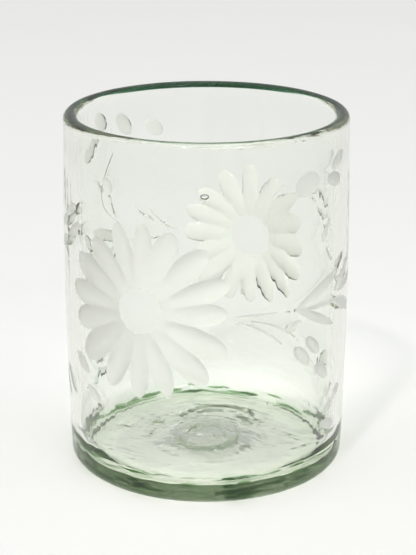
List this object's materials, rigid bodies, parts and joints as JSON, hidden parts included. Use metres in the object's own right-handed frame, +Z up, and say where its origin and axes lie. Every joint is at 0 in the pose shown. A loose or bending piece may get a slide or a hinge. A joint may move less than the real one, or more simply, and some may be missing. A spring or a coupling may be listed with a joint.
{
  "type": "pint glass tumbler",
  "caption": "Straight-sided tumbler of thick, pale green hand-blown glass with a rounded rim, a heavy foot and wheel-cut satin daisies and sprays round the wall.",
  "frame": {"origin": "centre of the foot, on the surface that the tumbler stands on", "axes": "+Z up along the tumbler's axis, -Y towards the viewer who has the front daisy left of centre, +X to that viewer's right"},
  "size_m": [0.0876, 0.0876, 0.1105],
  "materials": {
    "clear_glass": "clear, fire-polished, pale green tint",
    "rim_glass": "clear, fire-polished, deeper green where the edge is seen through",
    "foot_glass": "clear, thick, pale green with tooling ripples",
    "pontil_glass": "broken and lightly ground scar",
    "ground_glass": "wheel-ground satin"
  },
  "bodies": {
    "root": {"rim": "rim_glass", "side_wall": "clear_glass", "foot": "foot_glass", "pontil_mark": "pontil_glass", "front_daisy": "ground_glass", "front_spray": "ground_glass", "front_stems": "ground_glass", "front_berries": "ground_glass", "front_garland": "ground_glass", "front_leaves": "ground_glass", "back_daisy": "ground_glass", "back_spray": "ground_glass", "back_stems": "ground_glass", "back_berries": "ground_glass", "back_garland": "ground_glass", "back_leaves": "ground_glass"}
  },
  "joints": []
}
